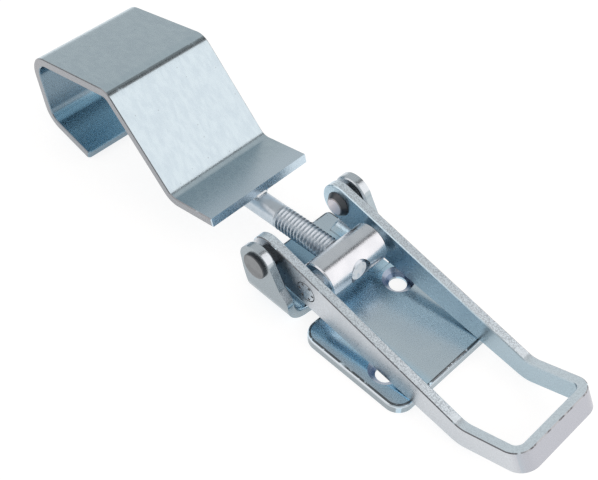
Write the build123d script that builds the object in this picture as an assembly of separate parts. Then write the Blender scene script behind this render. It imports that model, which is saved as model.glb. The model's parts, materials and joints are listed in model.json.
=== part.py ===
"""Over centre toggle latch: a bent lever pulls a threaded rod and its hook plate.

Millimetres, +X from the hook towards the lever's grip, +Y across, +Z up.
The origin is on the base plate's underside, half way between its two screw holes.
"""
import os
from math import asin, atan2, cos, hypot, radians, sin, sqrt, tan

from build123d import *

# ---- base plate, stamped from one sheet ---------------------------------
base_thickness = 4.0
base_width = 55.0
base_front_x = -58.0
base_rear_x = 28.6
base_tab_near_y = -21.5          # sides of the flat floor ahead of the ears
base_tab_far_y = 25.0
base_tab_corner_radius = 2.5
flange_front_corner_radius = 7.0
flange_rear_corner_radius = 6.5
sheet_edge_radius = 1.4          # rounded side of the sheared sheet
ear_rear_lean = 20.0             # where the ear's round top runs out, degrees above +X
ear_front_foot = (-5.4, 9.5)     # from the pivot along X, and height
ear_front_waist = (-7.2, 15.5)
ear_rear_shoulder = (12.4, 17.6)
ear_rear_foot_height = 13.0
ear_corner_radius = 4.0
notch_front_x = -28.0
notch_rear_x = -21.7
notch_inner_y = 13.0
ear_bend_inner_radius = 7.0
ear_outer_y = 27.3
hole_spacing_x = 25.0            # the two screw holes lie on a diagonal
hole_spacing_y = 35.0
hole_diameter = 7.2
countersink_diameter = 13.0

# ---- pivot and lever, a U of plate standing on edge ---------------------
pivot_x = -45.0
pivot_z = 22.8
lever_width = 42.0
lever_thickness = 4.0
lever_end_radius = 8.5
kink_x = 50.0
kink_height = 9.6
kink_lower_radius = 12.0
kink_upper_radius = 8.0
grip_height = 9.0
grip_angle = 22.0
grip_end_x = 77.7
grip_end_lean = 27.0             # of the closed end, back from upright
grip_bend_outer_radius = 7.0
lever_edge_chamfer = 0.35
rest_contact_x = 27.6            # the closed lever lies on the plate's rear edge here

# ---- pivot rivets -------------------------------------------------------
rivet_diameter = 9.0
rivet_head_diameter = 11.0
rivet_head_height = 1.3
rivet_tail_diameter = 10.8
rivet_tail_top_diameter = 7.4
rivet_tail_height = 2.3
rivet_edge_chamfer = 0.3

# ---- barrel nut, turned, with a journal at each end ---------------------
barrel_diameter = 16.4
barrel_half_length = 14.6
barrel_offset = 20.4             # from the pivot, along the lever
barrel_chamfer = 0.5
journal_diameter = 9.0
journal_chamfer = 0.4
journal_mark_count = 6
journal_mark_circle = 3.3
journal_mark_radius = 0.8
journal_mark_depth = 0.4
journal_mark_taper = 35.0

# ---- threaded rod -------------------------------------------------------
rod_diameter = 10.0
shank_diameter = 9.8
rod_end_past_barrel = 7.2
rod_end_chamfer = 1.2
rod_length_under_plate = 21.5
thread_end = 35.5                # from the barrel's axis towards the hook
thread_runout = 1.0

# ---- hook plate, one bent strip; lengths along its outer surface --------
hook_thickness = 4.0
hook_width = 51.0
hook_tilt = 9.2                  # of the plate to the rod, degrees
hook_reach = 46.6                # barrel axis to the plate's front edge, along the rod
hook_seat_height = 9.6           # rod axis to the plate's top at its front edge
hook_foot_length = 25.0
hook_rise = 40.7
hook_rise_run = 26.4
hook_top_length = 58.0
hook_drop = 35.0
hook_drop_run = 3.6
hook_lip_run = 25.5
hook_lip_drop = 12.0
hook_foot_bend_radius = 5.0
hook_crest_bend_radius = 4.0
hook_nose_bend_radius = 8.5
hook_lip_bend_radius = 6.0
hook_foot_corner_radius = 4.5
hook_tip_corner_radius = 1.5
hook_edge_chamfer = 0.35

# ---- weld beads between rod and hook plate ------------------------------
weld_radius = 2.2
weld_start = 6.0                 # from the plate's front edge
weld_length = 13.0
front_weld_radius = 1.3
front_weld_length = 4.6

# ---- clearances ---------------------------------------------------------
running_clearance = 0.05         # radial, in the pivots and in the thread
side_play = 0.2                  # between the rivets' inner heads and the lever

# ---- derived places -----------------------------------------------------
half_lever = lever_width / 2
inner_lever = half_lever - lever_thickness
ear_inner_y = ear_outer_y - base_thickness
ear_bend_outer_radius = ear_bend_inner_radius + base_thickness
rivet_tail_y = inner_lever - side_play
ear_radius = lever_end_radius
pivot_to_kink = kink_x - pivot_x


def slope_down(run, drop, radius):
    """Angle below +X of the line through a point, tangent to the underside of a circle."""
    return atan2(drop, run) - asin(radius / hypot(run, drop))


# the lever's lower edge is tangent to its round end and lies on the base plate
lower_slope = slope_down(rest_contact_x - pivot_x, pivot_z - base_thickness, lever_end_radius)
kink_low_z = base_thickness - (kink_x - rest_contact_x) * tan(lower_slope)
kink_high_z = kink_low_z + kink_height
upper_slope = -slope_down(pivot_to_kink, kink_high_z - pivot_z, lever_end_radius)
barrel_slope = (lower_slope + upper_slope) / 2
barrel_x = pivot_x + barrel_offset * cos(barrel_slope)
barrel_z = pivot_z - barrel_offset * sin(barrel_slope)

# outer surface of the hook plate, in its own axes: from the front edge, and above it
foot_end = (0.0, 0.0)
foot_bend = (hook_foot_length, 0.0)
crest_bend = (foot_bend[0] + hook_rise_run, hook_rise)
nose_bend = (crest_bend[0] + hook_top_length, hook_rise)
lip_bend = (nose_bend[0] + hook_drop_run, hook_rise - hook_drop)
lip_tip = (lip_bend[0] - hook_lip_run, lip_bend[1] - hook_lip_drop)

# the rod dips from the barrel until the hook's lip reaches the ground
tilt = radians(hook_tilt)
tip_along = hook_reach + lip_tip[0] * cos(tilt) + lip_tip[1] * sin(tilt)
tip_above = hook_seat_height - lip_tip[0] * sin(tilt) + lip_tip[1] * cos(tilt)
tip_angle = atan2(tip_above, tip_along)
rod_dip = asin(barrel_z / hypot(tip_along, tip_above)) + tip_angle

# sketch planes whose x runs towards the hook, y up and z across
rod_plane = Plane(
    origin=(barrel_x, 0, barrel_z),
    x_dir=(-cos(rod_dip), 0, -sin(rod_dip)),
    z_dir=(0, 1, 0),
)
hook_plane = Plane(
    origin=rod_plane.from_local_coords((hook_reach, hook_seat_height, 0)),
    x_dir=(-cos(rod_dip + tilt), 0, -sin(rod_dip + tilt)),
    z_dir=(0, 1, 0),
)


def across(sketch_xz, y_low, y_high):
    """Extrude a side view, drawn in X and Z, from one Y to another."""
    return Pos(0, y_high, 0) * extrude(Plane.XZ * sketch_xz, y_high - y_low)


def pin(radius, y_low, y_high, x, z):
    """A round bar along Y."""
    return across(Pos(x, z) * Circle(radius), y_low, y_high)


def corner_near(sketch, point):
    """The sketch's corner that lies nearest to a point."""
    return sketch.vertices().sort_by_distance(Vector(*point))[0]


# ---- base plate ---------------------------------------------------------
def channel():
    """Cross section of floor and ears, run along the front of the plate."""
    height = pivot_z + 2 * lever_end_radius
    outside = Pos(0, height / 2) * Rectangle(2 * ear_outer_y, height)
    outside = fillet(outside.vertices().group_by(Axis.Y)[0], ear_bend_outer_radius)
    inside = Pos(0, base_thickness + height / 2) * Rectangle(2 * ear_inner_y, height)
    inside = fillet(inside.vertices().group_by(Axis.Y)[0], ear_bend_inner_radius)
    section = Plane.YZ * (outside - inside)
    return Pos(base_front_x, 0, 0) * extrude(section, notch_front_x - base_front_x)


def ear_side_view():
    """Ear seen from the side, its top round about the pivot."""
    front_foot = (pivot_x + ear_front_foot[0], ear_front_foot[1])
    front_waist = (pivot_x + ear_front_waist[0], ear_front_waist[1])
    rear_shoulder = (pivot_x + ear_rear_shoulder[0], ear_rear_shoulder[1])
    rear_foot = (notch_front_x, ear_rear_foot_height)
    lean = radians(ear_rear_lean)
    top = (pivot_x, pivot_z + ear_radius)
    front = (pivot_x - ear_radius, pivot_z)
    rear = (pivot_x + ear_radius * cos(lean), pivot_z + ear_radius * sin(lean))
    with BuildSketch() as side:
        with BuildLine():
            Polyline((notch_front_x, 0), (front_foot[0], 0), front_foot, front_waist, front)
            ThreePointArc(front, top, rear)
            Polyline(rear, rear_shoulder, rear_foot, (notch_front_x, 0))
        make_face()
        for place in (front_foot, front_waist, rear_shoulder, rear_foot):
            fillet(corner_near(side, place), ear_corner_radius)
    return side.sketch


def front_tab():
    """Flat floor ahead of the ears, its upper edge rounded, rooted in the channel behind it."""
    length = pivot_x + ear_front_foot[0] - base_front_x
    width = base_tab_far_y - base_tab_near_y
    centre_y = (base_tab_far_y + base_tab_near_y) / 2
    tab = Pos(base_front_x + length / 2, centre_y) * Rectangle(length, width)
    tab = fillet(tab.vertices().group_by(Axis.X)[0], base_tab_corner_radius)
    body = extrude(tab, base_thickness)
    top = body.edges().group_by(Axis.Z)[-1]
    body = fillet(top.sort_by(Axis.X)[:-1], sheet_edge_radius)
    root = Pos(base_front_x + length + sheet_edge_radius, centre_y) * Rectangle(2 * sheet_edge_radius, width)
    return body + (extrude(root, base_thickness) & channel())


def rear_flange():
    """Flat rear of the plate and the neck between its two side notches."""
    length = base_rear_x - notch_rear_x
    flange = Pos(notch_rear_x + length / 2, 0) * Rectangle(length, base_width)
    flange = fillet(flange.vertices().group_by(Axis.X)[-1], flange_rear_corner_radius)
    flange = fillet(flange.vertices().group_by(Axis.X)[0], flange_front_corner_radius)
    neck_x = (notch_front_x + notch_rear_x) / 2
    gap = notch_rear_x - notch_front_x
    neck = Pos(neck_x, 0) * Rectangle(gap, 2 * (notch_inner_y + gap / 2))
    ends = [Pos(neck_x, side * (notch_inner_y + gap / 2)) * Circle(gap / 2) for side in (-1, 1)]
    return extrude(flange + neck - ends, base_thickness)


def screw_hole():
    """Drill and 90 degree countersink, standing on the plate's underside."""
    rim_height = base_thickness + 1
    rim_radius = countersink_diameter / 2 + 1
    point_height = rim_height - rim_radius
    with BuildSketch() as half:
        with BuildLine():
            Polyline(
                (0, -1),
                (hole_diameter / 2, -1),
                (hole_diameter / 2, point_height + hole_diameter / 2),
                (rim_radius, rim_height),
                (0, rim_height),
                close=True,
            )
        make_face()
    return revolve(Plane.XZ * half.sketch, Axis.Z)


def bend_radius_of(face):
    """Radius of a bend along X, or 0 for any other face."""
    if face.geom_type == GeomType.CYLINDER and abs(face.axis_of_rotation.direction.X) > 0.9:
        return face.radius
    return 0


def is_inner_side(face):
    """True for the floor's top, the ears' inner faces and the inside of the bends."""
    if face.geom_type == GeomType.PLANE:
        floor_top = face.normal_at().Z > 0.9
        return floor_top or abs(abs(face.center().Y) - ear_inner_y) < 0.01
    return abs(bend_radius_of(face) - ear_bend_inner_radius) < 0.01


def rim(body, belongs):
    """Edges all round one side of the bent sheet."""
    edges = [edge for face in body.faces() if belongs(face) for edge in face.edges()]
    return ShapeList(edge for edge in edges if sum(edge.is_same(other) for other in edges) == 1)


def base_plate():
    side_view = across(ear_side_view(), -base_width, base_width)
    body = (channel() & side_view) + rear_flange()
    body = fillet(rim(body, is_inner_side), sheet_edge_radius) + front_tab()
    body = body - Pos(-hole_spacing_x / 2, hole_spacing_y / 2) * screw_hole()
    body = body - Pos(hole_spacing_x / 2, -hole_spacing_y / 2) * screw_hole()
    return body - pin(rivet_diameter / 2, -base_width, base_width, pivot_x, pivot_z)


# ---- lever --------------------------------------------------------------
def lever_side_view():
    """Round pivot end, arm between two tangents, kink and upturned grip."""
    low_tangent = (pivot_x - lever_end_radius * sin(lower_slope), pivot_z - lever_end_radius * cos(lower_slope))
    high_tangent = (pivot_x + lever_end_radius * sin(upper_slope), pivot_z + lever_end_radius * cos(upper_slope))
    rise = radians(grip_angle)
    reach = grip_end_x - kink_x + 10
    kink_low = (kink_x, kink_low_z)
    kink_high = (kink_x - 0.6, kink_high_z + 0.6 * tan(upper_slope))
    grip_low = (kink_x + reach, kink_low_z + reach * tan(rise))
    grip_high = (grip_low[0] - grip_height * sin(rise), grip_low[1] + grip_height * cos(rise))
    with BuildSketch() as side:
        with BuildLine():
            ThreePointArc(high_tangent, (pivot_x - lever_end_radius, pivot_z), low_tangent)
            Polyline(low_tangent, kink_low, grip_low, grip_high, kink_high, high_tangent)
        make_face()
        fillet(corner_near(side, kink_low), kink_lower_radius)
        fillet(corner_near(side, kink_high), kink_upper_radius)
    return side.sketch


def lever_plan():
    """The U, seen along its closed end: two arms and the bend round the end."""
    length = 2 * (grip_end_x - pivot_x)
    outside = Rectangle(length, lever_width, align=(Align.MAX, Align.CENTER))
    outside = fillet(outside.vertices().group_by(Axis.X)[-1], grip_bend_outer_radius)
    inside = Pos(-lever_thickness, 0) * Rectangle(length, 2 * inner_lever, align=(Align.MAX, Align.CENTER))
    inside = fillet(inside.vertices().group_by(Axis.X)[-1], grip_bend_outer_radius - lever_thickness)
    return outside - inside


def lever_handle():
    end_z = kink_low_z + (grip_end_x - kink_x) * tan(radians(grip_angle))
    lean = radians(grip_end_lean)
    end_plane = Plane(origin=(grip_end_x, 0, end_z), x_dir=(cos(lean), 0, sin(lean)), z_dir=(-sin(lean), 0, cos(lean)))
    loop = extrude(end_plane * lever_plan(), 4 * lever_width, both=True)
    body = across(lever_side_view(), -half_lever, half_lever) & loop
    body = chamfer(body.edges(), lever_edge_chamfer)
    bore = running_clearance + rivet_diameter / 2
    body = body - pin(bore, -lever_width, lever_width, pivot_x, pivot_z)
    bore = running_clearance + journal_diameter / 2
    return body - pin(bore, -lever_width, lever_width, barrel_x, barrel_z)


# ---- pivot rivet --------------------------------------------------------
def pivot_rivet(side):
    """Flat head outside the ear, tapered tail inside the lever's arm."""
    head_top = ear_outer_y + rivet_head_height
    tail_top = rivet_tail_y - rivet_tail_height
    with BuildSketch(Plane.XY) as half:
        with BuildLine():
            Polyline(
                (0, head_top),
                (rivet_head_diameter / 2, head_top),
                (rivet_head_diameter / 2, ear_outer_y),
                (rivet_diameter / 2, ear_outer_y),
                (rivet_diameter / 2, rivet_tail_y),
                (rivet_tail_diameter / 2, rivet_tail_y),
                (rivet_tail_top_diameter / 2, tail_top),
                (0, tail_top),
                close=True,
            )
        make_face()
        chamfer(corner_near(half, (rivet_head_diameter / 2, head_top)), rivet_edge_chamfer)
        chamfer(corner_near(half, (rivet_tail_top_diameter / 2, tail_top)), rivet_edge_chamfer)
    rivet = revolve(half.sketch, Axis.Y)
    if side < 0:
        rivet = mirror(rivet, Plane.XZ)
    return Pos(pivot_x, 0, pivot_z) * rivet


# ---- barrel nut ---------------------------------------------------------
def barrel_nut():
    with BuildSketch(Plane.XY) as half:
        with BuildLine():
            Polyline(
                (0, -half_lever),
                (journal_diameter / 2, -half_lever),
                (journal_diameter / 2, -barrel_half_length),
                (barrel_diameter / 2, -barrel_half_length),
                (barrel_diameter / 2, barrel_half_length),
                (journal_diameter / 2, barrel_half_length),
                (journal_diameter / 2, half_lever),
                (0, half_lever),
                close=True,
            )
        make_face()
        shoulders = [v for v in half.vertices() if v.X > journal_diameter / 2 + 1]
        chamfer(shoulders, barrel_chamfer)
        tips = [v for v in half.vertices() if v.X > 1 and abs(v.Y) > half_lever - 0.01]
        chamfer(tips, journal_chamfer)
    body = Pos(barrel_x, 0, barrel_z) * revolve(half.sketch, Axis.Y)
    bore = rod_diameter / 2 + running_clearance
    body = body - extrude(rod_plane_across() * Circle(bore), barrel_diameter, both=True)
    pit = extrude(RegularPolygon(journal_mark_radius, 4), -journal_mark_depth, taper=journal_mark_taper)
    marks = PolarLocations(journal_mark_circle, journal_mark_count) * pit
    for side in (-1, 1):
        face = Plane(origin=(barrel_x, side * half_lever, barrel_z), x_dir=(1, 0, 0), z_dir=(0, side, 0))
        body = body - [face * mark for mark in marks]
    return body


def rod_plane_across():
    """Plane square to the rod at the barrel's axis, its z towards the hook."""
    return Plane(origin=rod_plane.origin, x_dir=(0, 1, 0), z_dir=rod_plane.x_dir)


# ---- threaded rod -------------------------------------------------------
def tension_rod():
    """Threaded towards the lever, plain towards the hook, with a flat for the plate."""
    radius = rod_diameter / 2
    shank = shank_diameter / 2
    tail = hook_reach + rod_length_under_plate
    with BuildSketch(rod_plane) as half:
        with BuildLine():
            Polyline(
                (-rod_end_past_barrel, 0),
                (-rod_end_past_barrel, radius - rod_end_chamfer),
                (-rod_end_past_barrel + rod_end_chamfer, radius),
                (thread_end - thread_runout, radius),
                (thread_end, shank),
                (tail - rod_end_chamfer, shank),
                (tail, shank - rod_end_chamfer),
                (tail, 0),
                close=True,
            )
        make_face()
    body = revolve(half.sketch, Axis(rod_plane.origin, rod_plane.x_dir))
    return body - extrude(hook_plane * plate_room(), hook_width, both=True)


def plate_room():
    """Side view of the room above the hook plate's underside, from its front edge on."""
    return Pos(0, -hook_thickness) * Rectangle(
        2 * rod_length_under_plate, 4 * hook_thickness, align=(Align.MIN, Align.MIN))


# ---- hook plate ---------------------------------------------------------
def hook_side_view():
    """Foot on the rod, slope up, top, nose wall and lip turned back under."""
    outer = [foot_end, foot_bend, crest_bend, nose_bend, lip_bend, lip_tip]
    strip = offset(
        Polyline(*outer), amount=hook_thickness, side=Side.RIGHT, kind=Kind.INTERSECTION, closed=True)
    profile = make_face(strip.edges())
    bends = [
        (foot_bend, hook_foot_bend_radius, hook_foot_bend_radius + hook_thickness),
        (crest_bend, hook_crest_bend_radius + hook_thickness, hook_crest_bend_radius),
        (nose_bend, hook_nose_bend_radius + hook_thickness, hook_nose_bend_radius),
        (lip_bend, hook_lip_bend_radius + hook_thickness, hook_lip_bend_radius),
    ]
    for point, top_radius, under_radius in bends:
        pair = profile.vertices().sort_by_distance(Vector(*point))
        under = pair[1]
        profile = fillet(pair[0], top_radius)
        under = corner_near(profile, tuple(under)[:2])
        profile = fillet(under, under_radius)
    return profile


def hook_plate():
    side_view = hook_plane * hook_side_view()
    body = extrude(side_view, hook_width / 2, both=True)
    upright = body.edges().filter_by(lambda edge: abs(edge.length - hook_thickness) < 0.01)
    along = ShapeList(edge for edge in upright if edge.geom_type == GeomType.LINE)
    foot = along.sort_by(Axis.X)[-2:]
    tip = ShapeList(edge for edge in along if edge not in foot)
    body = fillet(foot, hook_foot_corner_radius)
    body = fillet(tip, hook_tip_corner_radius)
    sides = body.faces().filter_by(Plane.XZ)
    return chamfer(sides.edges(), hook_edge_chamfer)


# ---- weld beads ---------------------------------------------------------
def bead(start, end, radius):
    """Run of weld between two points, its ends tapered."""
    length = (end - start).length
    run = Pos(0, 0, length / 2) * Cylinder(radius, length + 2 * radius)
    run = chamfer(run.edges().filter_by(GeomType.CIRCLE), radius, 0.6 * radius)
    run = Plane(origin=start, z_dir=end - start) * run
    shank = extrude(rod_plane_across() * Circle(shank_diameter / 2), hook_reach + weld_length * 3)
    return run - shank - extrude(hook_plane * plate_room(), hook_width, both=True)


def rod_flank(distance, side):
    """Where the plate's underside meets the rod's flank, at a distance from the plate's front."""
    under = rod_plane.to_local_coords(hook_plane.from_local_coords(Vector(distance, -hook_thickness, 0)))
    half_flat = sqrt(shank_diameter**2 / 4 - under.Y**2)
    return rod_plane.from_local_coords(Vector(under.X, under.Y, side * half_flat))


def side_weld(side):
    return bead(rod_flank(weld_start, side), rod_flank(weld_start + weld_length, side), weld_radius)


def front_weld():
    """Short run across the rod's top, against the plate's front edge."""
    ends = [
        rod_plane.from_local_coords(Vector(hook_reach, shank_diameter / 2, side * front_weld_length / 2))
        for side in (-1, 1)
    ]
    return bead(ends[0], ends[1], front_weld_radius)


if __name__ == "__main__":
    os.makedirs("parts", exist_ok=True)
    export_step(base_plate(), "parts/base_plate.step")
    export_step(lever_handle(), "parts/lever_handle.step")
    export_step(pivot_rivet(-1), "parts/pivot_rivet_near.step")
    export_step(pivot_rivet(1), "parts/pivot_rivet_far.step")
    export_step(barrel_nut(), "parts/barrel_nut.step")
    export_step(tension_rod(), "parts/tension_rod.step")
    export_step(hook_plate(), "parts/hook_plate.step")
    export_step(side_weld(-1), "parts/weld_bead_near.step")
    export_step(side_weld(1), "parts/weld_bead_far.step")
    export_step(front_weld(), "parts/weld_bead_front.step")
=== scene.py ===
"""Looks of an over centre toggle latch in blue-white zinc plate, dressed round its solids.

Metres, in the part's own frame: +X from the hook towards the lever's grip, +Z up.
"""
import json
import math

import bmesh
import bpy
from mathutils import Matrix, Vector


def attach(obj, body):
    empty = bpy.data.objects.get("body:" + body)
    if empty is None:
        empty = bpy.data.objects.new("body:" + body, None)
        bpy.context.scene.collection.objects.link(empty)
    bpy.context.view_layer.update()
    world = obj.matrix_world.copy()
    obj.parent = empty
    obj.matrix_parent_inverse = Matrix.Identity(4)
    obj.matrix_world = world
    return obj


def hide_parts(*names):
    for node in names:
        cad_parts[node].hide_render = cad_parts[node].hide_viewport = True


MM = 0.001

# ---- camera -------------------------------------------------------------
CAMERA_PLACE = (0.14441, -0.18729, 0.31975)
CAMERA_TURN = 46.0629            # degrees about +Z from looking along +Y
CAMERA_DIP = 48.8381             # degrees below level
CAMERA_ROLL = -0.7501
CAMERA_LENS = 62.518             # millimetres on a 36 mm wide sensor

# ---- studio, round a point under the middle of the latch ----------------
STAGE_CENTRE = (-0.05, 0.0, 0.0)
FLOOR_RADIUS = 12.0
FLOOR_DROP = 0.0002              # below the base, so that the two don't share a plane
FLOOR_SEEN = 0.28                # the floor's own white, as the camera sees it
FLOOR_LIT = 0.66                 # and as it lights the latch
FLOOR_GLOW = 0.80                # what brings the seen floor up to white
FLOOR_MIRRORED = 0.60            # how bright the floor shows in metal
WORLD_GREY = (0.69, 0.68, 0.67, 1)
LAMP_WARM = (1.0, 0.85, 0.80)
CARD_GREY = (0.20, 0.21, 0.22, 1)

# ---- threaded rod, in its own axes: u towards the hook, v up, w across --
ROD_ORIGIN = Vector((-24.926, 0.0, 19.168)) * MM
ROD_DIP = math.radians(3.7288)
ROD_END = -7.2
ROD_RADIUS = 5.0
ROD_CHAMFER = 1.2
SHANK_RADIUS = 4.9
THREAD_END = 35.5
THREAD_PITCH = 1.75
THREAD_DEPTH = 0.7
THREAD_SIDES = 64
PLATE_FRONT = 46.6
PLATE_TOP = 9.6
PLATE_THICKNESS = 4.0
PLATE_TILT = math.radians(9.2)
ROD_TAIL = 68.1
THREAD_CREST_HALF = 0.14         # shares of half a pitch
THREAD_ROOT_HALF = 0.88
THREAD_SMOOTH_ANGLE = 28.0       # degrees
PLATE_ROOM = (60.0, 20.0, 20.0)  # the block that stands for the hook plate

# ---- colours of the finishes, linear -------------------------------------
SPECK = (0.16, 0.17, 0.18)
# painted shade: the arms darker past the base's rear edge
ARM_PAST_BASE_SHADE = (0.38, 0.48, 0.54)
ARM_OUTER = (0.53, 0.565, 0.60)
ARM_SHEARED = (0.74, 0.85, 0.92)
# painted dark reflection line along the lever's outer edges
ARM_EDGE_DARK_REFLECTION = (0.09, 0.09, 0.10)
GRIP_BAR = (0.42, 0.44, 0.485)
# painted dark reflection on the grip's rim
GRIP_RIM_DARK_REFLECTION = (0.36, 0.39, 0.42)
# painted bounce light: the base floor bluer along the near arm and at the front
FLOOR_BOUNCE_TINT = (0.46, 0.70, 0.86)
# painted shadow on the base's front tab under the rod
UNDER_ROD_SHADOW = (0.22, 0.36, 0.47)
EAR_GREY = (0.50, 0.57, 0.62)
BASE_SIDE = (0.30, 0.35, 0.38)
BASE_BACK = (0.33, 0.40, 0.44)
# painted dark reflection line where the base's edge begins to round over
BASE_EDGE_DARK_REFLECTION = (0.07, 0.08, 0.09)
# painted highlight on the rounding of the base's edge
BASE_EDGE_HIGHLIGHT = (0.62, 0.68, 0.73)
# painted shade in the countersinks
COUNTERSINK_SHADE = (0.13, 0.18, 0.28)
# painted shade in the hook's hollow, on its inner wall and on its lip
HOOK_HOLLOW_SHADE = (0.25, 0.37, 0.45)
HOOK_WALL_SHADE = (0.21, 0.285, 0.34)
HOOK_LIP_SHADE = (0.28, 0.44, 0.545)
HOOK_FRONT = (0.52, 0.63, 0.71)
HOOK_SIDE = (0.28, 0.295, 0.315)
# painted dark line along the hook's upper side edges
HOOK_EDGE_DARK = (0.13, 0.11, 0.11)
# painted shade in the crease at the hook's crest
HOOK_CREASE_SHADE = (0.12, 0.14, 0.15)
# painted shade in the punch marks
PUNCH_SHADE = (0.08, 0.085, 0.09)
SAWN_PALE = (0.70, 0.80, 0.87)
SAWN_WHITE = (0.92, 0.97, 1.0)
RIVET_TAIL = (0.92, 0.86, 0.89)
# painted shade on the rivets' shoulders
RIVET_SHOULDER_SHADE = (0.09, 0.10, 0.11)

# ---- barrel, metres from its middle to where the punch marks begin -------
PUNCHED_FROM = 0.0205

# ---- base plate: screw holes in metres, far notch in millimetres ---------
SCREW_HOLES = ((-0.0125, 0.0175, 0.0), (0.0125, -0.0175, 0.0))
NOTCH_MIDDLE = (-24.85, 16.15, 2.0)
NOTCH_ROOT = (10.0, 9.7, 3.96)


# ---- small helpers for shader nodes -------------------------------------
def add_node(tree, kind, values=(), **settings):
    """A node with its settings, and with values for its input sockets by name or number."""
    node = tree.nodes.new(kind)
    for name, value in settings.items():
        setattr(node, name, value)
    for socket, value in dict(values).items():
        if isinstance(value, bpy.types.NodeSocket):
            tree.links.new(value, node.inputs[socket])
        else:
            node.inputs[socket].default_value = value
    return node


def maths(tree, operation, first, second=0.0, third=0.0, clamp=False):
    node = add_node(tree, "ShaderNodeMath", {0: first, 1: second, 2: third}, operation=operation, use_clamp=clamp)
    return node.outputs[0]


def ramp(tree, value, low, high, out_low=0.0, out_high=1.0):
    """A value taken smoothly from one range into another."""
    sockets = {"Value": value, "From Min": low, "From Max": high, "To Min": out_low, "To Max": out_high}
    return add_node(tree, "ShaderNodeMapRange", sockets, interpolation_type="SMOOTHSTEP").outputs["Result"]


def mix_colour(tree, share, first, second):
    node = tree.nodes.new("ShaderNodeMix")
    node.data_type = "RGBA"
    for index, value in ((0, share), (6, first), (7, second)):
        if isinstance(value, bpy.types.NodeSocket):
            tree.links.new(value, node.inputs[index])
        else:
            node.inputs[index].default_value = value if index == 0 else (*value[:3], 1.0)
    return node.outputs[2]


def noise(tree, place, scale, detail=3.0, roughness=0.55):
    sockets = {"Vector": place, "Scale": scale, "Detail": detail, "Roughness": roughness}
    return add_node(tree, "ShaderNodeTexNoise", sockets).outputs["Fac"]


def new_group(name, inputs, outputs):
    """An empty shader node group with named sockets, and its two end nodes."""
    group = bpy.data.node_groups.new(name, "ShaderNodeTree")
    kinds = {"value": "NodeSocketFloat", "colour": "NodeSocketColor", "vector": "NodeSocketVector"}
    for label, kind, value in inputs:
        socket = group.interface.new_socket(label, in_out="INPUT", socket_type=kinds[kind])
        socket.default_value = value
    for label, kind in outputs:
        group.interface.new_socket(label, in_out="OUTPUT", socket_type=kinds[kind])
    start = group.nodes.new("NodeGroupInput")
    end = group.nodes.new("NodeGroupOutput")
    return group, start.outputs, end.inputs


def placed(tree, group, values):
    node = tree.nodes.new("ShaderNodeGroup")
    node.node_tree = group
    for socket, value in values.items():
        if isinstance(value, bpy.types.NodeSocket):
            tree.links.new(value, node.inputs[socket])
        else:
            node.inputs[socket].default_value = value
    return node.outputs


# ---- effects shared by the finishes -------------------------------------
def make_zinc_plating():
    """Cloudy plated steel: colour, roughness and the fine relief under the plating."""
    group, given, result = new_group(
        "Zinc Plating",
        [
            ("Bright", "colour", (0.44, 0.55, 0.62, 1)),
            ("Dull", "colour", (0.39, 0.50, 0.57, 1)),
            ("Cloud Scale", "value", 60.0),
            ("Grain Scale", "value", 1500.0),
            ("Grain Contrast", "value", 0.3),
            ("Stretch", "vector", (1.0, 1.0, 1.0)),
            ("Speck Share", "value", 0.04),
            ("Smooth", "value", 0.24),
            ("Rough", "value", 0.34),
        ],
        [("Color", "colour"), ("Roughness", "value"), ("Height", "value")],
    )
    place = add_node(group, "ShaderNodeTexCoord").outputs["Object"]
    stretched = add_node(
        group, "ShaderNodeVectorMath", {0: place, 1: given["Stretch"]}, operation="MULTIPLY").outputs[0]
    clouds = ramp(group, noise(group, stretched, given["Cloud Scale"], 4.0), 0.32, 0.68)
    grain = ramp(group, noise(group, stretched, given["Grain Scale"], 2.0, 0.6), 0.3, 0.7)
    grain_share = maths(group, "MULTIPLY", maths(group, "SUBTRACT", grain, 0.5), given["Grain Contrast"])
    share = maths(group, "ADD", clouds, grain_share, clamp=True)
    plated = mix_colour(group, share, given["Dull"], given["Bright"])
    cells = add_node(group, "ShaderNodeTexVoronoi", {"Vector": place, "Scale": 520.0, "Randomness": 1.0})
    picked = maths(group, "LESS_THAN", add_node(
        group, "ShaderNodeSeparateColor", {0: cells.outputs["Color"]}).outputs[0], given["Speck Share"])
    dot = maths(group, "MULTIPLY", ramp(group, cells.outputs["Distance"], 0.06, 0.20, 1.0, 0.0), picked)
    speck = maths(group, "MULTIPLY", dot, 0.45)
    group.links.new(mix_colour(group, speck, plated, SPECK), result["Color"])
    span = maths(group, "SUBTRACT", given["Rough"], given["Smooth"])
    group.links.new(maths(group, "MULTIPLY_ADD", span, grain, given["Smooth"]), result["Roughness"])
    low = noise(group, stretched, given["Cloud Scale"], 2.0)
    group.links.new(maths(group, "MULTIPLY_ADD", grain, 0.2, low), result["Height"])
    return group


def make_sheared_speckle():
    """The torn grain that shears leave on the edges of thick plate."""
    group, given, result = new_group(
        "Sheared Speckle",
        [
            ("Color", "colour", (0.5, 0.5, 0.5, 1)),
            ("Roughness", "value", 0.35),
            ("Height", "value", 0.5),
            ("Share", "value", 1.0),
            ("Scale", "value", 1900.0),
            ("Dark", "colour", (0.42, 0.50, 0.56, 1)),
        ],
        [("Color", "colour"), ("Roughness", "value"), ("Height", "value")],
    )
    place = add_node(group, "ShaderNodeTexCoord").outputs["Object"]
    torn = noise(group, place, given["Scale"], 2.0, 0.6)
    pits = maths(group, "MULTIPLY", ramp(group, torn, 0.36, 0.60, 1.0, 0.0), given["Share"])
    group.links.new(mix_colour(group, pits, given["Color"], given["Dark"]), result["Color"])
    group.links.new(maths(group, "MULTIPLY_ADD", given["Share"], 0.12, given["Roughness"]), result["Roughness"])
    relief = maths(group, "MULTIPLY", torn, maths(group, "MULTIPLY", given["Share"], 1.5))
    group.links.new(maths(group, "ADD", relief, given["Height"]), result["Height"])
    return group


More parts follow.
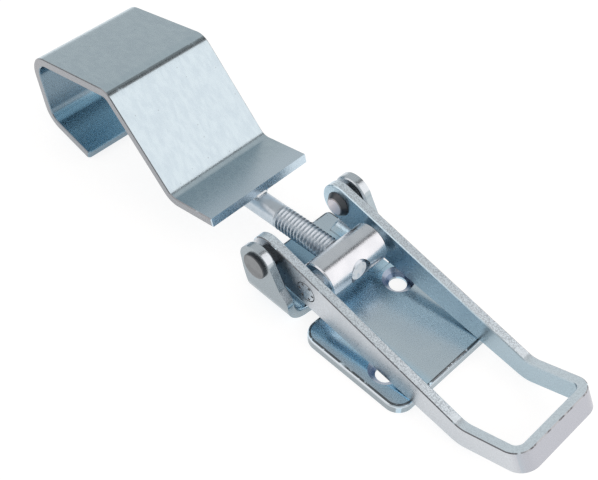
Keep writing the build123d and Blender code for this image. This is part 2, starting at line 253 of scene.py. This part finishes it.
def make_facing_band():
    """A mask for faces whose normal has a chosen share along an axis of the piece."""
    group, given, result = new_group(
        "Facing Band",
        [
            ("Axis", "vector", (0.0, 0.0, 1.0)),
            ("From", "value", 0.5),
            ("To", "value", 1.1),
            ("Softness", "value", 0.03),
        ],
        [("Mask", "value")],
    )
    facing = add_node(group, "ShaderNodeTexCoord").outputs["Normal"]
    share = add_node(
        group, "ShaderNodeVectorMath", {0: facing, 1: given["Axis"]}, operation="DOT_PRODUCT").outputs["Value"]
    low = maths(group, "SUBTRACT", given["From"], given["Softness"])
    high = maths(group, "ADD", given["To"], given["Softness"])
    above = ramp(group, share, low, given["From"])
    below = ramp(group, share, given["To"], high, 1.0, 0.0)
    group.links.new(maths(group, "MULTIPLY", above, below), result["Mask"])
    return group


def make_place_band():
    """A mask for a slice of the piece between two heights along an axis, in metres."""
    group, given, result = new_group(
        "Place Band",
        [
            ("Axis", "vector", (0.0, 0.0, 1.0)),
            ("From", "value", 0.0),
            ("To", "value", 1.0),
            ("Softness", "value", 0.001),
        ],
        [("Mask", "value")],
    )
    place = add_node(group, "ShaderNodeTexCoord").outputs["Object"]
    height = add_node(
        group, "ShaderNodeVectorMath", {0: place, 1: given["Axis"]}, operation="DOT_PRODUCT").outputs["Value"]
    low = maths(group, "SUBTRACT", given["From"], given["Softness"])
    high = maths(group, "ADD", given["To"], given["Softness"])
    above = ramp(group, height, low, given["From"])
    below = ramp(group, height, given["To"], high, 1.0, 0.0)
    group.links.new(maths(group, "MULTIPLY", above, below), result["Mask"])
    return group


def make_round_patch():
    """A mask for what lies near an upright axis through a chosen place."""
    group, given, result = new_group(
        "Round Patch", [("Centre", "vector", (0.0, 0.0, 0.0)), ("Radius", "value", 0.0065)], [("Mask", "value")])
    place = add_node(group, "ShaderNodeTexCoord").outputs["Object"]
    level = add_node(group, "ShaderNodeVectorMath", {0: place, 1: (1.0, 1.0, 0.0)}, operation="MULTIPLY").outputs[0]
    away = add_node(
        group, "ShaderNodeVectorMath", {0: level, 1: given["Centre"]}, operation="DISTANCE").outputs["Value"]
    group.links.new(ramp(group, away, given["Radius"], maths(group, "ADD", given["Radius"], 0.0004), 1.0, 0.0),
                    result["Mask"])
    return group


def make_outer_side():
    """A mask for what faces away from the piece's middle plane, on either side of it."""
    group, given, result = new_group("Outer Side", [("Least", "value", 0.5)], [("Mask", "value")])
    coordinates = add_node(group, "ShaderNodeTexCoord").outputs
    across = [
        add_node(group, "ShaderNodeSeparateXYZ", {0: coordinates[label]}).outputs["Y"]
        for label in ("Object", "Normal")
    ]
    side = add_node(group, "ShaderNodeMath", {0: across[0]}, operation="SIGN").outputs[0]
    outward = maths(group, "MULTIPLY", side, across[1])
    high = maths(group, "ADD", given["Least"], 0.04)
    group.links.new(ramp(group, outward, given["Least"], high), result["Mask"])
    return group


def make_broken_line():
    """Breaks a mask up along its length into patches of noise; the painted dark lines and shade on edges and creases
    use it.
    """
    group, given, result = new_group(
        "Broken Line",
        [("Mask", "value", 1.0), ("Scale", "value", 300.0), ("Coverage", "value", 0.5)],
        [("Mask", "value")],
    )
    place = add_node(group, "ShaderNodeTexCoord").outputs["Object"]
    patches = noise(group, place, given["Scale"], 3.0, 0.6)
    low = maths(group, "MULTIPLY_ADD", maths(group, "SUBTRACT", 1.0, given["Coverage"]), 0.5, 0.20)
    high = maths(group, "ADD", low, 0.12)
    group.links.new(maths(group, "MULTIPLY", ramp(group, patches, low, high), given["Mask"]), result["Mask"])
    return group


# ---- finishes -----------------------------------------------------------
def new_finish(name):
    """A metal finish and its principled shader."""
    finish = bpy.data.materials.new(name)
    finish.use_nodes = True
    tree = finish.node_tree
    shader = tree.nodes["Principled BSDF"]
    shader.inputs["Metallic"].default_value = 1.0
    return finish, tree, shader


def wire(tree, shader, colour, roughness, height, relief, distance=0.0002):
    tree.links.new(colour, shader.inputs["Base Color"])
    tree.links.new(roughness, shader.inputs["Roughness"])
    bump = add_node(tree, "ShaderNodeBump", {"Height": height, "Strength": relief, "Distance": distance})
    tree.links.new(bump.outputs["Normal"], shader.inputs["Normal"])


def times(tree, *masks):
    product = masks[0]
    for mask in masks[1:]:
        product = maths(tree, "MULTIPLY", product, mask)
    return product


def make_lever_finish(effects):
    """Outer faces greyer; inner faces bluer, which is painted bounce light; arms darker past the base, which is
    painted shade; sheared edges speckled; a painted dark reflection line along the outer edges.
    """
    finish, tree, shader = new_finish("lever_zinc_plate")
    # the blue plated colour that the inner faces keep is painted bounce light between the arms
    plated = placed(tree, effects["plating"], {
        "Bright": (0.56, 0.71, 0.80, 1), "Dull": (0.52, 0.67, 0.76, 1), "Cloud Scale": 70.0,
        "Grain Contrast": 0.2, "Speck Share": 0.02, "Smooth": 0.26, "Rough": 0.36})
    grip = placed(tree, effects["place"], {"Axis": (1, 0, 0), "From": 0.046, "To": 0.2, "Softness": 0.004})
    # painted shade on the arms past the base's rear edge
    free = placed(tree, effects["place"], {"Axis": (1, 0, 0), "From": 0.031, "To": 0.2, "Softness": 0.003})
    colour = mix_colour(tree, free["Mask"], plated["Color"], ARM_PAST_BASE_SHADE)
    # outer faces take the plating's own grey, without the painted bounce blue
    outer = placed(tree, effects["outer"], {"Least": 0.8})
    colour = mix_colour(tree, outer["Mask"], colour, ARM_OUTER)
    closed = placed(tree, effects["facing"], {"Axis": (1, 0, 0), "From": 0.80, "To": 1.1, "Softness": 0.7})
    beyond = placed(tree, effects["place"], {"Axis": (1, 0, 0), "From": 0.062, "To": 0.2, "Softness": 0.003})
    bar = times(tree, closed["Mask"], beyond["Mask"])
    colour = mix_colour(tree, bar, colour, GRIP_BAR)
    top = placed(tree, effects["facing"], {"Axis": (0, 0, 1), "From": 0.80, "To": 1.1, "Softness": 0.05})
    colour = mix_colour(tree, top["Mask"], colour, ARM_SHEARED)
    torn = maths(tree, "MULTIPLY", top["Mask"], maths(tree, "MULTIPLY_ADD", grip["Mask"], -0.6, 1.0))
    speckled = placed(tree, effects["speckle"], {
        "Color": colour, "Roughness": plated["Roughness"], "Height": plated["Height"], "Share": torn,
        "Dark": (0.48, 0.56, 0.62, 1)})
    # painted dark reflection lines along the outer edges and the grip's rim, broken up with noise
    edge = placed(tree, effects["facing"], {"Axis": (0, 0, 1), "From": 0.50, "To": 0.82})
    rim = placed(tree, effects["outer"], {"Least": 0.45})
    line = placed(tree, effects["line"], {
        "Mask": times(tree, edge["Mask"], rim["Mask"]), "Scale": 260.0, "Coverage": 0.8})
    bar_edge = placed(tree, effects["facing"], {"Axis": (1, 0, 0), "From": 0.22, "To": 0.60})
    bar_top = placed(tree, effects["facing"], {"Axis": (0, 0, 1), "From": 0.86, "To": 0.96})
    bar_rim = times(tree, bar_edge["Mask"], bar_top["Mask"], beyond["Mask"])
    dashes = placed(tree, effects["line"], {"Mask": bar_rim, "Scale": 260.0, "Coverage": 0.45})
    dark_edge_line = maths(tree, "MAXIMUM", line["Mask"], dashes["Mask"])
    colour = mix_colour(tree, bar_rim, speckled["Color"], GRIP_RIM_DARK_REFLECTION)
    colour = mix_colour(tree, maths(tree, "MULTIPLY", dark_edge_line, 0.9), colour, ARM_EDGE_DARK_REFLECTION)
    wire(tree, shader, colour, speckled["Roughness"], speckled["Height"], 0.14)
    return finish


def make_plate_finish(effects):
    """Rolled sheet, with a painted dark reflection line where the floor's edge begins to round over, a painted
    highlight on the rounding, painted bounce light and painted shadow on the floor, and painted shade in the
    countersinks.
    """
    finish, tree, shader = new_finish("base_zinc_plate")
    plated = placed(tree, effects["plating"], {
        "Bright": (0.52, 0.63, 0.70, 1), "Dull": (0.47, 0.58, 0.66, 1), "Cloud Scale": 45.0,
        "Grain Contrast": 0.05, "Speck Share": 0.03, "Smooth": 0.20, "Rough": 0.30})
    # painted bounce light: bluer floor beside the near arm and at the front
    corner = placed(tree, effects["place"], {"Axis": (0, 1, 0), "From": -0.0225, "To": -0.012, "Softness": 0.005})
    front = placed(tree, effects["place"], {"Axis": (1, 0, 0), "From": -0.042, "To": -0.018, "Softness": 0.010})
    blue = maths(tree, "MULTIPLY", maths(tree, "MAXIMUM", corner["Mask"], front["Mask"]), 0.7)
    colour = mix_colour(tree, blue, plated["Color"], FLOOR_BOUNCE_TINT)
    # painted shadow: the tab darker under the rod
    tab = placed(tree, effects["place"], {"Axis": (-1, 0, 0), "From": 0.035, "To": 0.2, "Softness": 0.004})
    shaded = placed(tree, effects["place"], {"Axis": (0, 1, 0), "From": -0.022, "To": 0.006, "Softness": 0.004})
    colour = mix_colour(tree, times(tree, tab["Mask"], shaded["Mask"]), colour, UNDER_ROD_SHADOW)
    ears = placed(tree, effects["place"], {"From": 0.007, "To": 0.1, "Softness": 0.002})
    colour = mix_colour(tree, ears["Mask"], colour, EAR_GREY)
    side = placed(tree, effects["outer"], {"Least": 0.8})
    colour = mix_colour(tree, side["Mask"], colour, BASE_SIDE)
    back = placed(tree, effects["facing"], {"Axis": (1, 0, 0), "From": 0.80, "To": 1.1})
    colour = mix_colour(tree, back["Mask"], colour, BASE_BACK)
    # painted shade on the countersink cones
    cone = placed(tree, effects["facing"], {"Axis": (0, 0, 1), "From": 0.62, "To": 0.80})
    holes = [placed(tree, effects["round"], {"Centre": centre})["Mask"] for centre in SCREW_HOLES]
    sunk = times(tree, maths(tree, "MAXIMUM", *holes), cone["Mask"])
    colour = mix_colour(tree, maths(tree, "MULTIPLY", sunk, 0.9), colour, COUNTERSINK_SHADE)
    # painted dark reflection line at the start of the rounding, broken up with noise
    start = placed(tree, effects["facing"], {"Axis": (0, 0, 1), "From": 0.76, "To": 0.990, "Softness": 0.008})
    floor = placed(tree, effects["place"], {"From": 0.0025, "To": 0.00402, "Softness": 0.0001})
    line = placed(tree, effects["line"], {
        "Mask": times(tree, start["Mask"], floor["Mask"]), "Scale": 330.0, "Coverage": 0.75})
    colour = mix_colour(tree, maths(tree, "MULTIPLY", line["Mask"], 0.92), colour, BASE_EDGE_DARK_REFLECTION)
    # painted highlight band on the rounded edge
    rounded = placed(tree, effects["facing"], {"Axis": (0, 0, 1), "From": 0.25, "To": 0.66, "Softness": 0.08})
    rounding_highlight = times(tree, rounded["Mask"], floor["Mask"])
    colour = mix_colour(tree, maths(tree, "MULTIPLY", rounding_highlight, 0.6), colour, BASE_EDGE_HIGHLIGHT)
    wire(tree, shader, colour, plated["Roughness"], plated["Height"], 0.03)
    return finish


def make_hook_finish(effects):
    """Fine mottled sheet with greyer sheared sides, a painted dark line on their upper edge, painted shade in the
    hook's hollow and a painted dark crease at the crest.
    """
    finish, tree, shader = new_finish("hook_zinc_plate")
    plated = placed(tree, effects["plating"], {
        "Bright": (0.455, 0.565, 0.625, 1), "Dull": (0.415, 0.52, 0.585, 1), "Cloud Scale": 480.0,
        "Grain Contrast": 0.2, "Stretch": (0.45, 1.0, 0.45), "Speck Share": 0.06, "Smooth": 0.22, "Rough": 0.32})
    nose = placed(tree, effects["place"], {"Axis": (-1, 0, 0), "From": 0.150, "To": 0.3})
    low = placed(tree, effects["place"], {"From": -0.01, "To": 0.0365})
    wall = placed(tree, effects["facing"], {"Axis": (1, 0, 0), "From": 0.6, "To": 1.1, "Softness": 0.2})
    lip = placed(tree, effects["facing"], {"Axis": (0, 0, 1), "From": 0.6, "To": 1.1, "Softness": 0.2})
    # painted shade in the hollow of the hook
    hollow = times(tree, nose["Mask"], low["Mask"])
    colour = mix_colour(tree, hollow, plated["Color"], HOOK_HOLLOW_SHADE)
    colour = mix_colour(tree, times(tree, hollow, wall["Mask"]), colour, HOOK_WALL_SHADE)
    colour = mix_colour(tree, times(tree, hollow, lip["Mask"]), colour, HOOK_LIP_SHADE)
    front = placed(tree, effects["place"], {"Axis": (1, 0, 0), "From": -0.074, "To": 0.0, "Softness": 0.016})
    colour = mix_colour(tree, front["Mask"], colour, HOOK_FRONT)
    side = placed(tree, effects["outer"], {"Least": 0.9})
    colour = mix_colour(tree, side["Mask"], colour, HOOK_SIDE)
    # painted dark line on the upper edges of the sheared sides
    edge = placed(tree, effects["facing"], {"Axis": (0, 0, 1), "From": 0.35, "To": 0.80})
    rim = placed(tree, effects["outer"], {"Least": 0.5})
    dark_edge_line = placed(tree, effects["line"], {
        "Mask": times(tree, edge["Mask"], rim["Mask"]), "Scale": 90.0, "Coverage": 0.85})
    colour = mix_colour(tree, maths(tree, "MULTIPLY", dark_edge_line["Mask"], 0.7), colour, HOOK_EDGE_DARK)
    # painted shade along the bend at the crest
    bend = placed(tree, effects["facing"], {"Axis": (1, 0, 0), "From": 0.30, "To": 0.50, "Softness": 0.05})
    upward = placed(tree, effects["facing"], {"Axis": (0, 0, 1), "From": 0.5, "To": 1.1})
    crest = placed(tree, effects["place"], {"From": 0.045, "To": 0.070})
    crease = placed(tree, effects["line"], {
        "Mask": times(tree, bend["Mask"], upward["Mask"], crest["Mask"]), "Scale": 240.0, "Coverage": 0.8})
    colour = mix_colour(tree, maths(tree, "MULTIPLY", crease["Mask"], 0.65), colour, HOOK_CREASE_SHADE)
    wire(tree, shader, colour, plated["Roughness"], plated["Height"], 0.03)
    return finish


def make_weld_finish(effects):
    """Rough, uneven plating over the weld beads."""
    finish, tree, shader = new_finish("weld_rough_zinc")
    plated = placed(tree, effects["plating"], {
        "Bright": (0.56, 0.62, 0.66, 1), "Dull": (0.38, 0.44, 0.48, 1), "Cloud Scale": 160.0,
        "Speck Share": 0.03, "Smooth": 0.25, "Rough": 0.45})
    wire(tree, shader, plated["Color"], plated["Roughness"], plated["Height"], 0.5)
    return finish


def make_barrel_finish(effects):
    """Bright barrel; the sides of the punch marks on its ends carry painted shade."""
    finish, tree, shader = new_finish("barrel_bright_zinc")
    plated = placed(tree, effects["plating"], {
        "Bright": (0.60, 0.65, 0.70, 1), "Dull": (0.55, 0.60, 0.65, 1), "Cloud Scale": 160.0,
        "Speck Share": 0.03, "Smooth": 0.21, "Rough": 0.29})
    middle = placed(tree, effects["place"], {"Axis": (0, 1, 0), "From": -PUNCHED_FROM, "To": PUNCHED_FROM,
                                             "Softness": 0.0001})
    flat = placed(tree, effects["outer"], {"Least": 0.93})
    marked = maths(tree, "SUBTRACT", 1.0, maths(tree, "MAXIMUM", middle["Mask"], flat["Mask"]))
    colour = mix_colour(tree, marked, plated["Color"], PUNCH_SHADE)
    wire(tree, shader, colour, plated["Roughness"], plated["Height"], 0.08)
    return finish


def make_rod_finish(effects):
    """Bright rod whose sawn end is matt and pale."""
    finish, tree, shader = new_finish("rod_bright_zinc")
    plated = placed(tree, effects["plating"], {
        "Bright": (0.49, 0.56, 0.62, 1), "Dull": (0.44, 0.51, 0.57, 1), "Cloud Scale": 160.0,
        "Speck Share": 0.03, "Smooth": 0.28, "Rough": 0.38})
    sawn = placed(tree, effects["facing"], {"Axis": (1, 0, 0), "From": 0.93, "To": 1.1})
    cloudy = placed(tree, effects["line"], {"Mask": sawn["Mask"], "Scale": 700.0, "Coverage": 0.6})
    colour = mix_colour(tree, sawn["Mask"], plated["Color"], SAWN_PALE)
    colour = mix_colour(tree, cloudy["Mask"], colour, SAWN_WHITE)
    tree.links.new(maths(tree, "MULTIPLY_ADD", sawn["Mask"], -0.75, 1.0), shader.inputs["Metallic"])
    wire(tree, shader, colour, plated["Roughness"], plated["Height"], 0.08)
    return finish


def make_rivet_finish(effects):
    """Outer heads brown-grey with wear, inner tails pale, and painted shade on the shoulders round them."""
    finish, tree, shader = new_finish("rivet_worn_zinc")
    plated = placed(tree, effects["plating"], {
        "Bright": (0.21, 0.225, 0.235, 1), "Dull": (0.17, 0.18, 0.19, 1), "Cloud Scale": 300.0,
        "Speck Share": 0.03, "Smooth": 0.30, "Rough": 0.45})
    tail = placed(tree, effects["place"], {"Axis": (0, 1, 0), "From": -0.018, "To": 0.018})
    colour = mix_colour(tree, tail["Mask"], plated["Color"], RIVET_TAIL)
    # painted shade on the sides of heads and tails
    across = add_node(tree, "ShaderNodeSeparateXYZ", {
        0: add_node(tree, "ShaderNodeTexCoord").outputs["Normal"]}).outputs["Y"]
    shoulder = ramp(tree, maths(tree, "ABSOLUTE", across), 0.86, 0.94, 1.0, 0.0)
    colour = mix_colour(tree, shoulder, colour, RIVET_SHOULDER_SHADE)
    wire(tree, shader, colour, plated["Roughness"], plated["Height"], 0.3)
    return finish


def make_finishes():
    effects = {
        "plating": make_zinc_plating(),
        "speckle": make_sheared_speckle(),
        "facing": make_facing_band(),
        "place": make_place_band(),
        "round": make_round_patch(),
        "outer": make_outer_side(),
        "line": make_broken_line(),
    }
    return {
        "lever_zinc": make_lever_finish(effects),
        "plate_zinc": make_plate_finish(effects),
        "hook_zinc": make_hook_finish(effects),
        "barrel_zinc": make_barrel_finish(effects),
        "rod_zinc": make_rod_finish(effects),
        "rivet_zinc": make_rivet_finish(effects),
        "weld_zinc": make_weld_finish(effects),
    }


# ---- threaded rod -------------------------------------------------------
def thread_radius(phase, along):
    """Radius of the rod's surface at a place in the pitch and along the rod, in millimetres."""
    edge = abs(phase - 0.5) * 2
    fall = (edge - THREAD_CREST_HALF) / (THREAD_ROOT_HALF - THREAD_CREST_HALF)
    depth = min(max(fall, 0.0), 1.0) * THREAD_DEPTH
    runout = min(max((THREAD_END - along) / THREAD_PITCH, 0.0), 1.0)
    crest = SHANK_RADIUS + (ROD_RADIUS - SHANK_RADIUS) * runout
    lead_in = ROD_RADIUS - ROD_CHAMFER + max(along - ROD_END, 0.0)
    return min(crest - depth * runout, lead_in)


def make_rod_blank():
    """Helical surface of thread and shank, cut square at the rod's end and closed."""
    phases = (0.0, 0.06, 0.25, 0.43, 0.57, 0.75, 0.94)
    start = ROD_END - 2 * THREAD_PITCH
    turns = math.ceil((THREAD_END - start) / THREAD_PITCH) + 2
    rows = [(turn, phase) for turn in range(turns) for phase in phases]
    mesh = bmesh.new()
    grid = []
    for turn, phase in rows:
        ring = []
        for side in range(THREAD_SIDES + 1):
            lead = side / THREAD_SIDES
            along = start + (turn + phase + lead) * THREAD_PITCH
            radius = thread_radius(phase, along)
            angle = 2 * math.pi * lead
            ring.append(mesh.verts.new((along, radius * math.cos(angle), radius * math.sin(angle))))
        grid.append(ring)
    for lower, upper in zip(grid, grid[1:]):
        for side in range(THREAD_SIDES):
            mesh.faces.new((lower[side], lower[side + 1], upper[side + 1], upper[side]))
    bmesh.ops.remove_doubles(mesh, verts=mesh.verts, dist=1e-5)
    for place, direction in ((ROD_END, -1), (THREAD_END + THREAD_PITCH, 1)):
        geometry = mesh.verts[:] + mesh.edges[:] + mesh.faces[:]
        cut = bmesh.ops.bisect_plane(
            mesh, geom=geometry, dist=1e-6, plane_co=(place, 0, 0), plane_no=(direction, 0, 0), clear_outer=True)
        rim = [piece for piece in cut["geom_cut"] if isinstance(piece, bmesh.types.BMEdge)]
        if direction < 0:
            bmesh.ops.edgenet_fill(mesh, edges=rim)
            continue
        for reach, radius in ((ROD_TAIL - ROD_CHAMFER, SHANK_RADIUS), (ROD_TAIL, SHANK_RADIUS - ROD_CHAMFER)):
            grown = bmesh.ops.extrude_edge_only(mesh, edges=rim)["geom"]
            rim = [piece for piece in grown if isinstance(piece, bmesh.types.BMEdge)]
            for vertex in [piece for piece in grown if isinstance(piece, bmesh.types.BMVert)]:
                scale = radius / math.hypot(vertex.co.y, vertex.co.z)
                vertex.co = Vector((reach, vertex.co.y * scale, vertex.co.z * scale))
        bmesh.ops.edgenet_fill(mesh, edges=rim)
    bmesh.ops.recalc_face_normals(mesh, faces=mesh.faces)
    return mesh


def rod_axes():
    """From the rod's own axes, in millimetres, to the part's frame."""
    along = Vector((-math.cos(ROD_DIP), 0, -math.sin(ROD_DIP)))
    above = Vector((-math.sin(ROD_DIP), 0, math.cos(ROD_DIP)))
    across = along.cross(above)
    turn = Matrix((along, above, across)).transposed().to_4x4()
    return Matrix.Translation(ROD_ORIGIN) @ turn @ Matrix.Scale(MM, 4)


def object_from(mesh, name, smooth_angle=30.0):
    """A scene object from finished mesh code, shaded smooth up to an angle."""
    data = bpy.data.meshes.new(name)
    mesh.to_mesh(data)
    mesh.free()
    made = bpy.data.objects.new(name, data)
    bpy.context.scene.collection.objects.link(made)
    data.shade_smooth()
    data.set_sharp_from_angle(angle=math.radians(smooth_angle))
    return made


def make_threaded_rod(finish):
    """The threaded rod with the hook plate's seat cut out of its shank, in place of the plain one."""
    rod = object_from(make_rod_blank(), "threaded_rod")
    # the room that the hook plate takes out of the shank
    room = bmesh.new()
    bmesh.ops.create_cube(room, size=1.0)
    bmesh.ops.scale(room, vec=PLATE_ROOM, verts=room.verts)
    bmesh.ops.translate(room, vec=(PLATE_ROOM[0] / 2, PLATE_ROOM[1] / 2 - PLATE_THICKNESS, 0), verts=room.verts)
    bmesh.ops.rotate(room, cent=(0, 0, 0), matrix=Matrix.Rotation(PLATE_TILT, 3, "Z"), verts=room.verts)
    bmesh.ops.translate(room, vec=(PLATE_FRONT, PLATE_TOP, 0), verts=room.verts)
    cutter = object_from(room, "plate_room")
    cut = rod.modifiers.new("seat", "BOOLEAN")
    cut.operation = "DIFFERENCE"
    cut.solver = "EXACT"
    cut.object = cutter
    bpy.context.view_layer.update()
    seated = bpy.data.meshes.new_from_object(rod.evaluated_get(bpy.context.evaluated_depsgraph_get()))
    rod.modifiers.clear()
    rod.data = seated
    bpy.data.objects.remove(cutter)
    seated.transform(rod_axes())
    seated.shade_smooth()
    seated.set_sharp_from_angle(angle=math.radians(THREAD_SMOOTH_ANGLE))
    seated.materials.clear()
    seated.materials.append(finish)
    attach(rod, "hook")
    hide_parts("tension_rod")


def make_notch_root(finish):
    """Plate that closes the inner end of the base's far side notch, beside the lever's arm."""
    mesh = bmesh.new()
    bmesh.ops.create_cube(mesh, size=MM)
    bmesh.ops.scale(mesh, vec=NOTCH_ROOT, verts=mesh.verts)
    bmesh.ops.translate(mesh, vec=Vector(NOTCH_MIDDLE) * MM, verts=mesh.verts)
    root = object_from(mesh, "notch_root")
    root.data.materials.append(finish)
    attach(root, "base")


# ---- stage --------------------------------------------------------------
def make_floor():
    """White floor that keeps soft shadows and shows white in the metal."""
    mesh = bmesh.new()
    bmesh.ops.create_circle(mesh, cap_ends=True, segments=64, radius=FLOOR_RADIUS)
    floor = object_from(mesh, "studio_floor")
    floor.location.z = -FLOOR_DROP
    paint = bpy.data.materials.new("studio_floor_white")
    paint.use_nodes = True
    tree = paint.node_tree
    tree.nodes.clear()
    rays = add_node(tree, "ShaderNodeLightPath").outputs
    tone = mix_colour(tree, rays["Is Camera Ray"], (FLOOR_LIT,) * 3, (FLOOR_SEEN,) * 3)
    matt = add_node(tree, "ShaderNodeBsdfDiffuse", {"Color": tone})
    in_metal = maths(tree, "ADD", rays["Is Glossy Ray"], rays["Is Transmission Ray"])
    mirrored = maths(tree, "MULTIPLY", in_metal, FLOOR_MIRRORED)
    glow = add_node(tree, "ShaderNodeEmission", {
        "Color": (1, 1, 1, 1), "Strength": maths(tree, "MULTIPLY_ADD", rays["Is Camera Ray"], FLOOR_GLOW, mirrored)})
    both = add_node(tree, "ShaderNodeAddShader", {0: matt.outputs[0], 1: glow.outputs[0]})
    out = tree.nodes.new("ShaderNodeOutputMaterial")
    tree.links.new(both.outputs[0], out.inputs["Surface"])
    floor.data.materials.append(paint)


def facing_stage(thing, direction, distance):
    """Stands a thing off the latch in a direction, its own Z turned away from it."""
    towards = Vector(direction).normalized()
    thing.location = towards * distance + Vector(STAGE_CENTRE)
    thing.rotation_euler = towards.to_track_quat("Z", "Y").to_euler()


def make_softbox(name, direction, distance, width, height, radiance):
    """A panel of even light that faces the latch."""
    lamp = bpy.data.lights.new(name, "AREA")
    lamp.shape = "RECTANGLE"
    lamp.size = width
    lamp.size_y = height
    lamp.color = LAMP_WARM
    lamp.energy = radiance * math.pi * width * height
    panel = bpy.data.objects.new(name, lamp)
    facing_stage(panel, direction, distance)
    panel.visible_camera = False
    bpy.context.scene.collection.objects.link(panel)


def make_card(name, direction, distance, width, height, hole=(0.0, 0.0)):
    """A dark grey card, with a hole if asked, that shows only as darker lines in the metal."""
    mesh = bmesh.new()
    corners = [(-0.5, -0.5), (0.5, -0.5), (0.5, 0.5), (-0.5, 0.5)]
    outer = [mesh.verts.new((x * width, y * height, 0)) for x, y in corners]
    if hole[0]:
        inner = [mesh.verts.new((x * hole[0], y * hole[1], 0)) for x, y in corners]
        for i in range(4):
            j = (i + 1) % 4
            mesh.faces.new((inner[i], inner[j], outer[j], outer[i]))
    else:
        mesh.faces.new(outer)
    card = object_from(mesh, name)
    facing_stage(card, direction, distance)
    dark = bpy.data.materials.new(name + "_dark")
    dark.use_nodes = True
    dark.node_tree.nodes["Principled BSDF"].inputs["Base Color"].default_value = CARD_GREY
    dark.node_tree.nodes["Principled BSDF"].inputs["Roughness"].default_value = 1.0
    card.data.materials.append(dark)
    for ray in ("visible_camera", "visible_diffuse", "visible_shadow"):
        setattr(card, ray, False)


def make_studio():
    make_floor()
    world = bpy.data.worlds.new("studio_air")
    world.use_nodes = True
    world.node_tree.nodes["Background"].inputs["Color"].default_value = WORLD_GREY
    world.node_tree.nodes["Background"].inputs["Strength"].default_value = 1.0
    bpy.context.scene.world = world
    make_softbox("softbox_right", (0.696, 0.457, 0.553), 1.15, 1.7, 1.9, 0.92)
    make_card("ceiling_card", (0.05, 0.457, 0.887), 1.2, 0.28, 1.6)
    make_softbox("softbox_left", (-0.474, -0.792, 0.386), 1.2, 1.3, 1.35, 0.7)
    make_card("left_frame", (-0.474, -0.792, 0.386), 1.2, 1.52, 1.57, (1.3, 1.35))


def make_camera():
    lens = bpy.data.cameras.new("camera")
    lens.sensor_fit = "HORIZONTAL"
    lens.sensor_width = 36.0
    lens.lens = CAMERA_LENS
    lens.clip_start = 0.01
    camera = bpy.data.objects.new("camera", lens)
    turn = Matrix.Rotation(math.radians(CAMERA_TURN), 4, "Z")
    dip = Matrix.Rotation(math.radians(90 - CAMERA_DIP), 4, "X")
    roll = Matrix.Rotation(math.radians(CAMERA_ROLL), 4, "Z")
    camera.matrix_world = Matrix.Translation(CAMERA_PLACE) @ turn @ dip @ roll
    bpy.context.scene.collection.objects.link(camera)
    bpy.context.scene.camera = camera


# ---- the latch ----------------------------------------------------------
def dress_solids(frame, finishes):
    """The part's own solids take the finish of their material slot."""
    for row in frame["record"]["subparts"]:
        solid = frame["nodes"][row["node"]]
        solid.data.materials.clear()
        solid.data.materials.append(finishes[row["material_slot"]])


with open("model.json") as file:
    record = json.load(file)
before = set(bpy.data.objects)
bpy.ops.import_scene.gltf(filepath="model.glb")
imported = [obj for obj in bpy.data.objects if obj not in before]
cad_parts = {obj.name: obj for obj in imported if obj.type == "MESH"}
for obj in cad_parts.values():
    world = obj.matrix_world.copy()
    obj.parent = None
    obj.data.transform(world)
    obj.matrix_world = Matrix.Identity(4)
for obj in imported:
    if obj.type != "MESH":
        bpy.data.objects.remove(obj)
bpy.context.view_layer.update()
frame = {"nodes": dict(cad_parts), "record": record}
finishes = make_finishes()
dress_solids(frame, finishes)
make_threaded_rod(finishes["rod_zinc"])
make_notch_root(finishes["plate_zinc"])
make_studio()
make_camera()
bpy.context.scene.view_settings.view_transform = "Standard"
